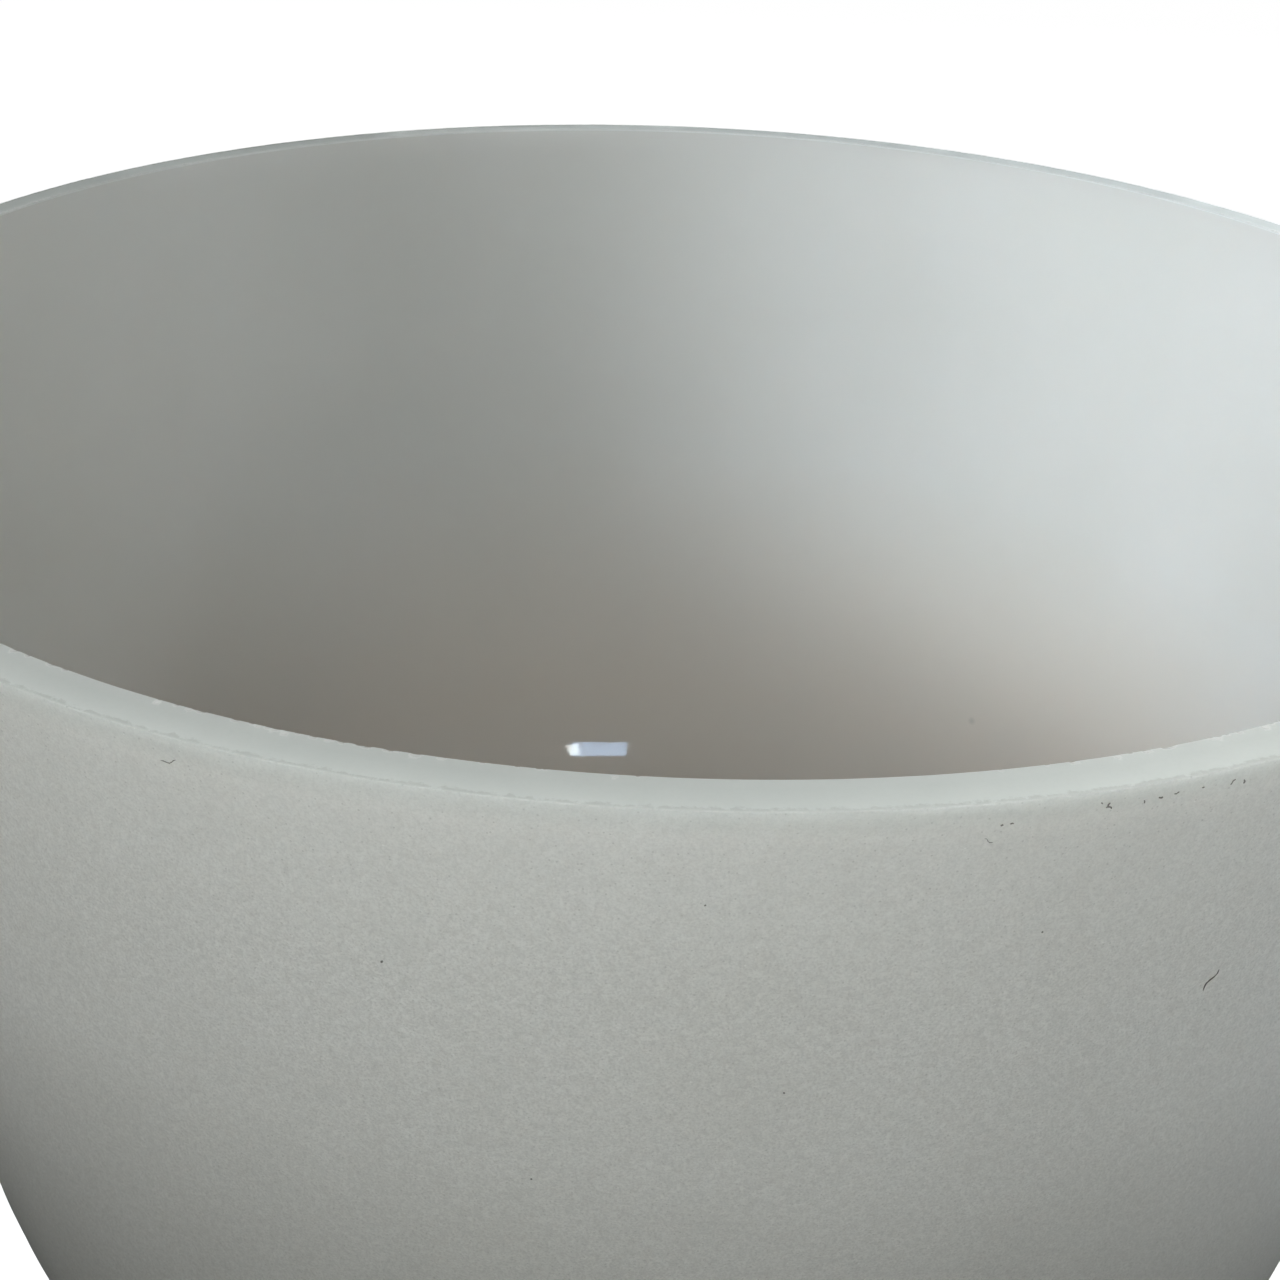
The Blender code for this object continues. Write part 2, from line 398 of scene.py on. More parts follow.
class Nodes:
    """A material's node tree, with short calls to add and join nodes."""

    def __init__(self, name):
        self.material = bpy.data.materials.new(name)
        self.material.use_nodes = True
        self.tree = self.material.node_tree
        self.shader = self.tree.nodes["Principled BSDF"]
        self.place = self.tree.nodes.new("ShaderNodeTexCoord").outputs["Object"]

    def set(self, **values):
        """Set the shader's sockets by name, with spaces for underscores."""
        for key, value in values.items():
            self.shader.inputs[key.replace("_", " ")].default_value = value
        return self

    def put(self, value, target):
        """Link a socket, or set a plain value."""
        if isinstance(value, bpy.types.NodeSocket):
            self.tree.links.new(value, target)
        else:
            target.default_value = value

    def noise(self, size, detail=2.0, roughness=0.5, stretch=(1.0, 1.0, 1.0), distortion=0.0):
        """Noise of about 0 to 1 whose features have the given size in metres."""
        mapping = self.tree.nodes.new("ShaderNodeMapping")
        mapping.inputs["Scale"].default_value = stretch
        self.put(self.place, mapping.inputs["Vector"])
        node = self.tree.nodes.new("ShaderNodeTexNoise")
        node.inputs["Scale"].default_value = 1.0 / size
        node.inputs["Detail"].default_value = detail
        node.inputs["Roughness"].default_value = roughness
        node.inputs["Distortion"].default_value = distortion
        self.put(mapping.outputs["Vector"], node.inputs["Vector"])
        return node.outputs["Fac"]

    def spots(self, size, randomness=1.0):
        """Distance to the nearest of scattered points, in units of the given size in metres."""
        node = self.tree.nodes.new("ShaderNodeTexVoronoi")
        node.inputs["Scale"].default_value = 1.0 / size
        node.inputs["Randomness"].default_value = randomness
        self.put(self.place, node.inputs["Vector"])
        return node.outputs["Distance"]

    def distance(self, point):
        """How far away a fixed point is, in metres."""
        node = self.tree.nodes.new("ShaderNodeVectorMath")
        node.operation = "DISTANCE"
        self.put(self.place, node.inputs[0])
        node.inputs[1].default_value = point
        return node.outputs["Value"]

    def height(self):
        """How high up a point is, in metres."""
        node = self.tree.nodes.new("ShaderNodeSeparateXYZ")
        self.put(self.place, node.inputs[0])
        return node.outputs["Z"]

    def from_axis(self):
        """How far a point is from the vertical axis, in metres."""
        node = self.tree.nodes.new("ShaderNodeSeparateXYZ")
        self.put(self.place, node.inputs[0])
        across, along = node.outputs["X"], node.outputs["Y"]
        squares = self.math("ADD", self.math("MULTIPLY", across, across), self.math("MULTIPLY", along, along))
        return self.math("SQRT", squares)

    def attribute(self, name):
        """A float that the mesh carries."""
        node = self.tree.nodes.new("ShaderNodeAttribute")
        node.attribute_name = name
        return node.outputs["Fac"]

    def math(self, operation, a, b=0.0):
        """One arithmetic step."""
        node = self.tree.nodes.new("ShaderNodeMath")
        node.operation = operation
        self.put(a, node.inputs[0])
        self.put(b, node.inputs[1])
        return node.outputs[0]

    def spread(self, value, low, high, to_low=0.0, to_high=1.0):
        """Map low..high to another range, held at its ends."""
        node = self.tree.nodes.new("ShaderNodeMapRange")
        self.put(value, node.inputs["Value"])
        node.inputs["From Min"].default_value = low
        node.inputs["From Max"].default_value = high
        node.inputs["To Min"].default_value = to_low
        node.inputs["To Max"].default_value = to_high
        return node.outputs["Result"]

    def mix(self, factor, a, b):
        """Blend two colours."""
        node = self.tree.nodes.new("ShaderNodeMix")
        node.data_type = "RGBA"
        self.put(factor, node.inputs[0])
        self.put(a if isinstance(a, bpy.types.NodeSocket) else (*a, 1.0), node.inputs[6])
        self.put(b if isinstance(b, bpy.types.NodeSocket) else (*b, 1.0), node.inputs[7])
        return node.outputs[2]

    def colour(self, value):
        """Use a colour socket as the base colour."""
        self.put(value, self.shader.inputs["Base Color"])
        return self

    def roughness(self, value):
        """Use a socket as the roughness."""
        self.put(value, self.shader.inputs["Roughness"])
        return self

    def bump(self, height, strength, distance):
        """Bump the surface by a height field, after any bump already there."""
        node = self.tree.nodes.new("ShaderNodeBump")
        node.inputs["Strength"].default_value = strength
        node.inputs["Distance"].default_value = distance
        self.put(height, node.inputs["Height"])
        normal = self.shader.inputs["Normal"]
        if normal.is_linked:
            self.put(normal.links[0].from_socket, node.inputs["Normal"])
        self.put(node.outputs["Normal"], normal)
        return self


def translucent(nodes):
    """What all three quartz surfaces share: light scatters through the milky body of the wall."""
    return nodes.set(Subsurface_Weight=1.0, Subsurface_Radius=(1.0, 0.96, 0.93), Subsurface_Scale=12.0 * MM,
                     IOR=1.46)


def quartz_sand():
    """The outer wall: matt, sandy, warm grey-white, mottled and speckled like fine sandstone."""
    nodes = translucent(Nodes("quartz_sand"))
    top = bowl_high.z
    cloud = nodes.noise(0.05, 3.0)
    patch = nodes.noise(9.0 * MM, 3.0)
    mottle = nodes.noise(1.1 * MM, 3.0, 0.65)
    grain = nodes.noise(0.34 * MM, 3.0, 0.7)
    dark = nodes.spread(nodes.spots(0.95 * MM), 0.07, 0.16, 0.45, 0.0)
    bright = nodes.spread(nodes.spots(1.9 * MM, 0.9), 0.03, 0.07, 0.6, 0.0)
    tone = nodes.mix(nodes.spread(cloud, 0.35, 0.65), (0.83, 0.825, 0.795), (0.86, 0.855, 0.83))
    tone = nodes.mix(nodes.spread(patch, 0.35, 0.65, 0.0, 0.12), tone, (0.70, 0.69, 0.66))
    # Painted light: below the rim the mottle and grain fade, so the sand is lighter there.
    painted_light_fade = nodes.spread(nodes.height(), top - 26.0 * MM, top - 3.0 * MM, 1.0, 0.52)
    mottled = nodes.math("MULTIPLY", nodes.spread(mottle, 0.28, 0.62, 0.55, 0.0), painted_light_fade)
    grained = nodes.math("MULTIPLY", nodes.spread(grain, 0.28, 0.58, 0.80, 0.0), painted_light_fade)
    tone = nodes.mix(mottled, tone, (0.66, 0.655, 0.63))
    tone = nodes.mix(grained, tone, (0.60, 0.59, 0.57))
    tone = nodes.mix(dark, tone, (0.46, 0.45, 0.43))
    tone = nodes.mix(bright, tone, (0.97, 0.97, 0.95))
    # Painted shade: it is cooler and darker right under the rim, and darkens towards the foot.
    lip = nodes.spread(nodes.height(), top - 3.6 * MM, top - 0.4 * MM, 0.0, 0.30)
    tone = nodes.mix(lip, tone, (0.30, 0.37, 0.37))
    painted_shade_low = nodes.spread(nodes.height(), top - 55 * MM, top - 140 * MM, 0.0, 0.42)
    tone = nodes.mix(painted_shade_low, tone, BLACK)
    nodes.colour(tone).set(Roughness=0.78, Specular_IOR_Level=0.3)
    nodes.bump(grain, 0.45, 0.12 * MM)
    nodes.bump(mottle, 0.30, 0.20 * MM)
    return nodes.material


def quartz_ground():
    """The rim's ground face: smoother and cooler, with a painted highlight line along its inner edge, white
    where it is newly chipped: partly paler broken glass, partly a painted highlight."""
    nodes = translucent(Nodes("quartz_ground"))
    cloud = nodes.noise(0.012, 3.0)
    fine = nodes.noise(0.5 * MM, 2.0)
    # Painted highlight: lighter towards the inner edge and along it. The chips are white, partly as paler
    # broken glass and partly as a painted highlight.
    brink = nodes.spread(nodes.from_axis(), INNER_RADIUS + 1.8 * MM, INNER_RADIUS + 0.3 * MM, 0.0, 0.22)
    painted_edge_highlight = nodes.math("MAXIMUM", nodes.math("MULTIPLY", nodes.attribute("edge"), 0.45), brink)
    chips_and_painted_highlight = nodes.math("MAXIMUM", nodes.attribute("chip"), painted_edge_highlight)
    ragged = nodes.noise(1.3 * MM, 3.0, 0.7)
    border = nodes.math("ADD", nodes.from_axis(), nodes.spread(ragged, 0.3, 0.7, -0.45 * MM, 0.45 * MM))
    border = nodes.spread(border, RIM_RADIUS - 0.75 * MM, RIM_RADIUS - 0.35 * MM)
    tone = nodes.mix(nodes.spread(cloud, 0.3, 0.7), (0.78, 0.808, 0.797), (0.815, 0.84, 0.829))
    tone = nodes.mix(nodes.spread(fine, 0.3, 0.55, 0.14, 0.0), tone, (0.72, 0.748, 0.737))
    tone = nodes.mix(border, tone, (0.66, 0.68, 0.665))
    tone = nodes.mix(chips_and_painted_highlight, tone, (0.99, 0.99, 0.985))
    nodes.colour(tone).roughness(nodes.spread(chips_and_painted_highlight, 0.0, 1.0, 0.55, 0.20))
    nodes.put(nodes.spread(chips_and_painted_highlight, 0.0, 1.0, 0.30, 0.0), nodes.shader.inputs["Subsurface Weight"])
    nodes.bump(fine, 0.12, 0.06 * MM)
    return nodes.material


SPECK_DEPTH = 148.5 * MM
SPECK_ANGLE = math.radians(49.7)
SPECK_RADIUS = wall_radius(SPECK_DEPTH, INNER_RADIUS, INNER_DEPTH)
SPECK_PLACE = (SPECK_RADIUS * math.cos(SPECK_ANGLE), SPECK_RADIUS * math.sin(SPECK_ANGLE),
               bowl_high.z - SPECK_DEPTH)


def quartz_glaze():
    """The inside: the same milky body under a clear fused skin, smooth enough to mirror a window."""
    nodes = translucent(Nodes("quartz_glaze"))
    cloud = nodes.noise(0.06, 3.0)
    ripple = nodes.noise(0.018, 2.0)
    speck = nodes.spread(nodes.distance(SPECK_PLACE), 0.3 * MM, 1.3 * MM, 0.45, 0.0)
    # Painted shade: the inside turns darker and warmer towards its bottom.
    painted_shade_low = nodes.spread(nodes.height(), bowl_high.z - 0.55 * RIM_RADIUS, bowl_high.z - 1.05 * RIM_RADIUS)
    tone = nodes.mix(nodes.spread(cloud, 0.35, 0.65), (0.80, 0.80, 0.775), (0.83, 0.83, 0.81))
    tone = nodes.mix(painted_shade_low, tone, (0.80, 0.735, 0.68))
    tone = nodes.mix(speck, tone, (0.52, 0.50, 0.47))
    nodes.colour(tone).set(Roughness=0.05)
    nodes.bump(ripple, 0.25, 0.25 * MM)
    return nodes.material


def lint():
    """Dark fibres and specks that lie on the sandy wall."""
    nodes = Nodes("lint")
    tone = nodes.mix(nodes.spread(nodes.noise(0.8 * MM), 0.35, 0.65), (0.09, 0.085, 0.08), (0.22, 0.21, 0.20))
    nodes.colour(tone).set(Roughness=0.8)
    return nodes.material


def ring_rubber():
    """Black moulded rubber with a faint bloom and a little dust."""
    nodes = Nodes("ring_rubber")
    cloud = nodes.noise(9 * MM, 3.0)
    fine = nodes.noise(0.35 * MM, 2.0, 0.6)
    dust = nodes.spread(nodes.spots(1.7 * MM), 0.05, 0.12, 0.5, 0.0)
    tone = nodes.mix(nodes.spread(cloud, 0.35, 0.65), (0.024, 0.024, 0.026), (0.042, 0.042, 0.044))
    tone = nodes.mix(dust, tone, (0.20, 0.20, 0.19))
    nodes.colour(tone).roughness(nodes.spread(cloud, 0.3, 0.7, 0.48, 0.66))
    nodes.bump(fine, 0.25, 0.08 * MM)
    return nodes.material


def mallet_wood():
    """Oiled hardwood, its grain running along the dowel."""
    nodes = Nodes("mallet_wood")
    band = nodes.noise(4.5 * MM, 2.0, 0.5, (1.0, 1.0, 0.045), 0.7)
    streak = nodes.noise(1.1 * MM, 3.0, 0.6, (1.0, 1.0, 0.035))
    pores = nodes.noise(0.34 * MM, 1.0, 0.5, (1.0, 1.0, 0.05))
    tone = nodes.mix(nodes.spread(band, 0.35, 0.65), (0.43, 0.25, 0.125), (0.55, 0.35, 0.19))
    tone = nodes.mix(nodes.spread(streak, 0.46, 0.72, 0.0, 0.6), tone, (0.31, 0.17, 0.08))
    tone = nodes.mix(nodes.spread(pores, 0.60, 0.70, 0.0, 0.7), tone, (0.19, 0.10, 0.045))
    nodes.colour(tone).roughness(nodes.spread(streak, 0.3, 0.7, 0.36, 0.52))
    nodes.bump(pores, 0.30, -0.10 * MM)
    nodes.bump(streak, 0.20, 0.08 * MM)
    return nodes.material


def mallet_suede():
    """Brown suede, its nap brushed into lighter and darker patches."""
    nodes = Nodes("mallet_suede")
    cloud = nodes.noise(13 * MM, 3.0, 0.55)
    brushed = nodes.noise(2.4 * MM, 3.0, 0.6, (1.0, 1.0, 0.5), 0.4)
    nap = nodes.noise(0.42 * MM, 3.0, 0.7)
    # Painted shade along the seam and where the suede meets the other pieces and the dowel.
    painted_crease_shade = nodes.attribute("painted_crease_shade")
    tone = nodes.mix(nodes.spread(cloud, 0.35, 0.65), (0.36, 0.24, 0.155), (0.46, 0.325, 0.215))
    tone = nodes.mix(nodes.spread(brushed, 0.35, 0.65, 0.45, 0.0), tone, (0.29, 0.19, 0.12))
    tone = nodes.mix(nodes.spread(nap, 0.30, 0.60, 0.55, 0.0), tone, (0.24, 0.155, 0.095))
    tone = nodes.mix(nodes.math("MULTIPLY", painted_crease_shade, 0.6), tone, (0.22, 0.15, 0.10))
    nodes.colour(tone).set(Roughness=0.95, Specular_IOR_Level=0.12, Sheen_Weight=0.35, Sheen_Roughness=0.45)
    nodes.bump(nap, 0.8, 0.22 * MM)
    nodes.bump(brushed, 0.4, 0.30 * MM)
    return nodes.material


def waxed_thread():
    """Pale waxed thread, laid in twisted strands."""
    nodes = Nodes("waxed_thread")
    strand = nodes.noise(0.30 * MM, 2.0, 0.6, (1.0, 1.0, 2.0))
    cloud = nodes.noise(3.0 * MM)
    tone = nodes.mix(nodes.spread(cloud, 0.35, 0.65), (0.60, 0.51, 0.37), (0.72, 0.63, 0.47))
    tone = nodes.mix(nodes.spread(strand, 0.3, 0.6, 0.5, 0.0), tone, (0.42, 0.34, 0.23))
    nodes.colour(tone).set(Roughness=0.6)
    nodes.bump(strand, 0.7, 0.15 * MM)
    return nodes.material


def mallet_rubber():
    """The grey-black rubber tube inside the head."""
    nodes = Nodes("mallet_rubber")
    fine = nodes.noise(0.6 * MM, 3.0, 0.6)
    tone = nodes.mix(nodes.spread(fine, 0.35, 0.65), (0.035, 0.035, 0.036), (0.065, 0.065, 0.066))
    nodes.colour(tone).set(Roughness=0.8)
    nodes.bump(fine, 0.4, 0.15 * MM)
    return nodes.material


# ---------------------------------------------------------------- the bowl

def along_wall(azimuth, depth):
    """A point on the outer wall, by degrees round the axis and metres below the rim."""
    radius = wall_radius(depth, RIM_RADIUS, BOWL_HEIGHT)
    angle = math.radians(azimuth)
    return Vector((radius * math.cos(angle), radius * math.sin(angle), bowl_high.z - depth))


TUBE_END = 0.35


def add_tube(vertices, faces, path, radius, sides):
    """Add a round tube with narrowed ends along the path to the lists."""
    path = [Vector(p) for p in path]
    first = len(vertices)
    for index, point in enumerate(path):
        ahead = (path[min(index + 1, len(path) - 1)] - path[max(index - 1, 0)]).normalized()
        side = ahead.orthogonal().normalized()
        up = ahead.cross(side)
        at = radius * (TUBE_END if index in (0, len(path) - 1) else 1.0)
        for corner in range(sides):
            turn = 2.0 * math.pi * corner / sides
            vertices.append(point + at * (math.cos(turn) * side + math.sin(turn) * up))
    for index in range(len(path) - 1):
        for corner in range(sides):
            a = first + index * sides + corner
            b = first + index * sides + (corner + 1) % sides
            faces.append((a, b, b + sides, a + sides))
    faces.append(tuple(first + corner for corner in reversed(range(sides))))
    last = first + (len(path) - 1) * sides
    faces.append(tuple(last + corner for corner in range(sides)))


# Fibres and specks, most of them on the near wall: degrees round the axis, mm below the rim, length in mm,
# lean in degrees from level, and the thread's radius in mm.
FIBRES = (
    (-72.6, 2.0, 0.7, 60, 0.088), (-72.5, 2.3, 0.7, -35, 0.081), (-72.9, 1.6, 0.3, -40, 0.068),
    (-71.0, 2.3, 0.5, -60, 0.068), (-70.3, 2.1, 0.5, 5, 0.095), (-69.6, 1.9, 0.6, 20, 0.061),
    (-68.4, 1.8, 0.3, 0, 0.068), (-67.0, 1.9, 0.8, 55, 0.068), (-66.4, 2.2, 0.6, -75, 0.088),
    (-64.2, 33.3, 3.3, 62, 0.074), (-77.3, 5.0, 1.2, -35, 0.041), (-109.5, 3.4, 2.1, 18, 0.047),
    (-101.1, 25.3, 0.3, 20, 0.149), (-76.9, 3.0, 0.3, 0, 0.081), (-76.5, 2.9, 0.4, 0, 0.068),
    (-84.0, 41.0, 0.2, 0, 0.095), (-95.0, 58.0, 0.2, 30, 0.095), (-74.0, 19.0, 0.2, 60, 0.081),
    (-60.0, 12.0, 0.3, 40, 0.095), (-88.0, 12.5, 0.2, 0, 0.081), (35.0, 40.0, 1.6, 25, 0.081),
    (150.0, 22.0, 1.3, -40, 0.081), (95.0, 60.0, 0.4, 0, 0.135),
)


def make_lint():
    """The fibres and specks as thin bent threads, half sunk in the sandy skin."""
    vertices, faces = [], []
    for number, (azimuth, depth, length, lean, radius) in enumerate(FIBRES):
        path = []
        for step in range(7):
            along = (step / 6.0 - 0.5) * length * MM
            bend = 0.09 * length * MM * math.sin(2.2 * along / (length * MM) * math.pi + number)
            level = along * math.cos(math.radians(lean)) - bend * math.sin(math.radians(lean))
            down = -along * math.sin(math.radians(lean)) - bend * math.cos(math.radians(lean))
            point = along_wall(azimuth + math.degrees(level / RIM_RADIUS), depth * MM + down)
            sink = MEAN_WAVE * min((depth * MM + down) / WAVE_STARTS, 1.0) - 0.4 * radius * MM
            path.append(point - sink * Vector((point.x, point.y, 0.0)).normalized())
        add_tube(vertices, faces, path, radius * MM, 6)
    return new_object("wall_lint", vertices, faces)


bowl = make_bowl()
for material in (quartz_sand(), quartz_ground(), quartz_glaze()):
    bowl.data.materials.append(material)
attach(bowl, "bowl")
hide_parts("bowl")

wall_lint = make_lint()
wall_lint.data.materials.append(lint())
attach(wall_lint, "bowl")


# ---------------------------------------------------------------- the ring and the mallet

def even_angles(count):
    """Angles evenly round the circle."""
    return [2.0 * math.pi * i / count for i in range(count)]


def lathe(name, rows, angles, closed, reshape=None):
    """A solid turned about local Z from (radius, height) rows. A closed one is a tube or a ring. An open one
    starts and ends on the axis. reshape(angle, radius, height) gives the radius to use at a point."""
    vertices, faces, starts = [], [], []
    for radius, height in rows:
        starts.append(len(vertices))
        if radius == 0.0:
            vertices.append((0.0, 0.0, height))
            continue
        for angle in angles:
            at = reshape(angle, radius, height) if reshape else radius
            vertices.append((at * math.cos(angle), at * math.sin(angle), height))
    count = len(angles)
    pairs = [(i, i + 1) for i in range(len(rows) - 1)] + ([(len(rows) - 1, 0)] if closed else [])
    for a, b in pairs:
        for i in range(count):
            j = (i + 1) % count
            if rows[a][0] == 0.0:
                faces.append((starts[a], starts[b] + j, starts[b] + i))
            elif rows[b][0] == 0.0:
                faces.append((starts[a] + i, starts[a] + j, starts[b]))
            else:
                faces.append((starts[a] + i, starts[a] + j, starts[b] + j, starts[b] + i))
    return new_object(name, vertices, faces)


def rounded_tube(inner, outer, low, high, edge, step):
    """Rows of a tube's closed section, outer wall upward first, its four edges rounded."""
    rows = []
    corners = ((outer - edge, low + edge, -90), (outer - edge, high - edge, 0),
               (inner + edge, high - edge, 90), (inner + edge, low + edge, 180))
    for number, (r, z, start) in enumerate(corners):
        for part in range(5):
            turn = math.radians(start + 22.5 * part)
            rows.append((r + edge * math.cos(turn), z + edge * math.sin(turn)))
        if number == 0:
            count = int((high - low - 2.0 * edge) / step)
            for i in range(1, count):
                rows.append((outer, low + edge + (high - low - 2.0 * edge) * i / count))
    return rows


def make_ring():
    """The rubber ring, a little flattened on the floor, with the mould's parting line round its outside."""
    middle = 0.5 * (ring_high.z + ring_low.z)
    rows = []
    for i in range(RING_ROWS):
        turn = 2.0 * math.pi * i / RING_ROWS
        swell = FLASH * math.exp(-(math.sin(turn) * RING_SECTION / FLASH_WIDTH) ** 2)
        radius = RING_RADIUS + (RING_SECTION + swell) * math.cos(turn)
        height = middle + RING_SECTION * math.sin(turn)
        rows.append((radius, max(height, ring_low.z + RING_FLAT)))
    return lathe("rubber_ring", rows, even_angles(RING_POINTS), True, ring_waver)


def ring_waver(angle, radius, height):
    """The ring's slight unevenness, never outward."""
    spot = Vector((4.0 * math.cos(angle), 4.0 * math.sin(angle), 2.0))
    return radius - RING_WAVER * (1.0 + noise.noise(spot))


def seam_arc(angle):
    """How far round the wrap a point is from the seam, in metres."""
    return ((angle - SEAM + math.pi) % (2.0 * math.pi) - math.pi) * WRAP_OUTSIDE


def stitch_height(number):
    """Where a stitch crosses the seam."""
    return 0.5 * HEAD_LENGTH + (number - 0.5 * (STITCH_COUNT - 1)) * STITCH_PITCH


def suede_shape(angle, radius, height):
    """The stitched wrap's radius: a closed seam, puckers at the thread holes, soft lumps and a flat where
    it lies on the floor."""
    if radius < WRAP_OUTSIDE - 0.7 * MM:
        return radius
    arc = seam_arc(angle)
    at = radius - 0.12 * MM
    at -= SEAM_DEPTH * math.exp(-(arc / SEAM_WIDTH) ** 2)
    at += LIP_RISE * math.exp(-((abs(arc) - LIP_FROM_SEAM) / LIP_WIDTH) ** 2)
    if abs(arc) < PUCKER_REACH:
        side = 1.0 if arc > 0.0 else -1.0
        number = round((height - side * STITCH_LEAN - stitch_height(0)) / STITCH_PITCH)
        hole = stitch_height(min(max(number, 0), STITCH_COUNT - 1)) + side * STITCH_LEAN
        away = math.hypot(arc - side * STITCH_REACH, height - hole)
        at -= HOLE_DEPTH * math.exp(-(away / HOLE_WIDTH) ** 2)
        at += PUCKER * math.cos(2.0 * math.pi * (height - hole) / STITCH_PITCH + math.pi)
    spot = Vector((math.cos(angle) * 2.2, math.sin(angle) * 2.2, height / (8.0 * MM)))
    at += 0.09 * MM * noise.noise(spot) + 0.035 * MM * noise.noise(spot * 6.0)
    at = min(at, WRAP_OUTSIDE)
    if math.cos(angle) > 0.5:
        at = min(at, (MALLET_MIDDLE.z - 0.03 * MM) / math.cos(angle))
    return at


def wrap_angles():
    """Angles round the wrap, closer together near the seam."""
    fine = [i * 0.15 * MM / WRAP_OUTSIDE for i in range(-22, 23)]
    rest = 2.0 * math.pi - fine[-1] + fine[0]
    coarse = [fine[-1] + rest * i / 170 for i in range(1, 170)]
    return [SEAM + angle for angle in fine + coarse]


def make_wrap():
    """The suede sleeve, sewn shut along its length."""
    rows = rounded_tube(WRAP_INSIDE, WRAP_OUTSIDE, 0.0, HEAD_LENGTH, 0.6 * MM, 0.5 * MM)
    wrap = lathe("suede_wrap", rows, wrap_angles(), True, suede_shape)
    # Painted shade along the seam and at both ends of the sleeve.
    mark_painted_crease_shade(wrap, lambda p: max(math.exp(-(seam_arc(math.atan2(p.y, p.x)) / (0.7 * MM)) ** 2),
                                  math.exp(-(min(p.z, HEAD_LENGTH - p.z) / (1.2 * MM)) ** 2)))
    return wrap


def mark_painted_crease_shade(piece, amount):
    """Give the suede a painted shade, 0 to 1, along its seam and where it meets the other pieces and the
    dowel.
    """
    add_floats(piece, "painted_crease_shade", [amount(vertex.co) for vertex in piece.data.vertices])


def make_stitching():
    """One slanted stitch after another over the seam, each end pulled into its hole."""
    vertices, faces = [], []
    for number in range(STITCH_COUNT):
        path = []
        for step in range(STITCH_STEPS):
            t = 2.0 * step / (STITCH_STEPS - 1) - 1.0
            angle = SEAM + STITCH_REACH * t / WRAP_OUTSIDE
            radius = WRAP_OUTSIDE + 0.10 * MM * (1.0 - t * t) - 0.75 * MM * abs(t) ** 7
            path.append((radius * math.cos(angle), radius * math.sin(angle),
                         stitch_height(number) + STITCH_LEAN * t))
        add_tube(vertices, faces, path, THREAD_RADIUS, 8)
    return new_object("wrap_stitching", vertices, faces)


def make_handle():
    """The dowel, its free end rounded over."""
    low, high, end = HANDLE_START, MALLET_LENGTH, HANDLE_ROUNDING
    rows = [(0.0, high)]
    for step in range(1, 12):
        turn = 0.5 * math.pi * step / 12
        rows.append((DOWEL_RADIUS - end + end * math.sin(turn), high - end + end * math.cos(turn)))
    for step in range(56):
        rows.append((DOWEL_RADIUS, high - end - (high - end - HEAD_LENGTH + 2.0 * MM) * step / 55))
    rows += [(DOWEL_RADIUS, low + 0.5 * MM), (DOWEL_RADIUS - 0.5 * MM, low), (0.0, low)]
    return lathe("wooden_handle", list(reversed(rows)), even_angles(HANDLE_POINTS), False, dowel_waver)


def dowel_waver(angle, radius, height):
    """The sanded dowel's slight unevenness, never outward."""
    spot = Vector((math.cos(angle), math.sin(angle), height / (40.0 * MM)))
    return radius - 0.05 * MM * (1.0 + noise.noise(spot * 1.3))


def make_end_disc():
    """The suede disc that closes the head."""
    thick, edge = LEATHER, 0.5 * MM
    rows = [(0.0, DISC_HOLLOW)]
    for step in range(1, 26):
        along = step / 26.0
        rows.append(((CORE_RADIUS - edge) * along, DISC_HOLLOW * (1.0 - along ** 4)))
    for part in range(6):
        turn = math.radians(-90.0 + 18.0 * part)
        rows.append((CORE_RADIUS - edge + edge * math.cos(turn), edge + edge * math.sin(turn)))
    rows += [(CORE_RADIUS, thick - 0.2 * MM), (CORE_RADIUS - 0.3 * MM, thick), (0.0, thick)]
    disc = lathe("suede_end_disc", rows, even_angles(DISC_POINTS), False)
    # Painted shade towards the disc's edge, where it meets the sleeve.
    mark_painted_crease_shade(disc, lambda p: (math.hypot(p.x, p.y) / CORE_RADIUS) ** 8)
    return disc


def make_collar():
    """The suede washer round the handle at the head's other end."""
    rows = rounded_tube(DOWEL_RADIUS + 0.3 * MM, CORE_RADIUS, HEAD_LENGTH - LEATHER, HEAD_LENGTH,
                        0.45 * MM, 0.4 * MM)
    collar = lathe("suede_collar", rows, even_angles(DISC_POINTS), True)
    # Painted shade round the hole, where the collar meets the dowel.
    mark_painted_crease_shade(collar, lambda p: math.exp(-((math.hypot(p.x, p.y) - DOWEL_RADIUS) / (1.0 * MM)) ** 2))
    return collar


def finish_piece(piece, material, body, slot, *nodes):
    """Give a piece its material and its body, and hide the CAD nodes that it stands for. The slot is not
    used.
    """
    piece.data.materials.append(material)
    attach(piece, body)
    if nodes:
        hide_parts(*nodes)


suede = mallet_suede()
finish_piece(make_ring(), ring_rubber(), "ring", "ring_rubber", "support_ring")
wrap = make_wrap()
stitching = make_stitching()
handle = make_handle()
end_disc = make_end_disc()
collar = make_collar()
for piece in (wrap, stitching, handle, end_disc, collar):
    piece.matrix_world = MALLET_PLACE
finish_piece(wrap, suede, "mallet", "mallet_suede", "mallet_suede_wrap")
finish_piece(stitching, waxed_thread(), "mallet", "mallet_suede")
finish_piece(handle, mallet_wood(), "mallet", "mallet_wood", "mallet_handle")
finish_piece(end_disc, suede, "mallet", "mallet_suede", "mallet_end_disc")
finish_piece(collar, suede, "mallet", "mallet_suede", "mallet_collar")
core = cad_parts["mallet_core"]
core.data.materials.clear()
core.data.materials.append(mallet_rubber())


# ---------------------------------------------------------------- floor, light and camera

FLOOR_SEEN = (0.80, 0.80, 0.80)
FLOOR_BOUNCE = (0.06, 0.06, 0.058)
FLOOR_GLOW = 0.99
WORLD_LIGHT = 0.0
WORLD_GLOSS = 0.1
RIM_CENTRE = Vector((0.0, 0.0, bowl_high.z))
SUN = (0.835, 0.925, 1.0)
SKY = (0.965, 1.0, 0.965)


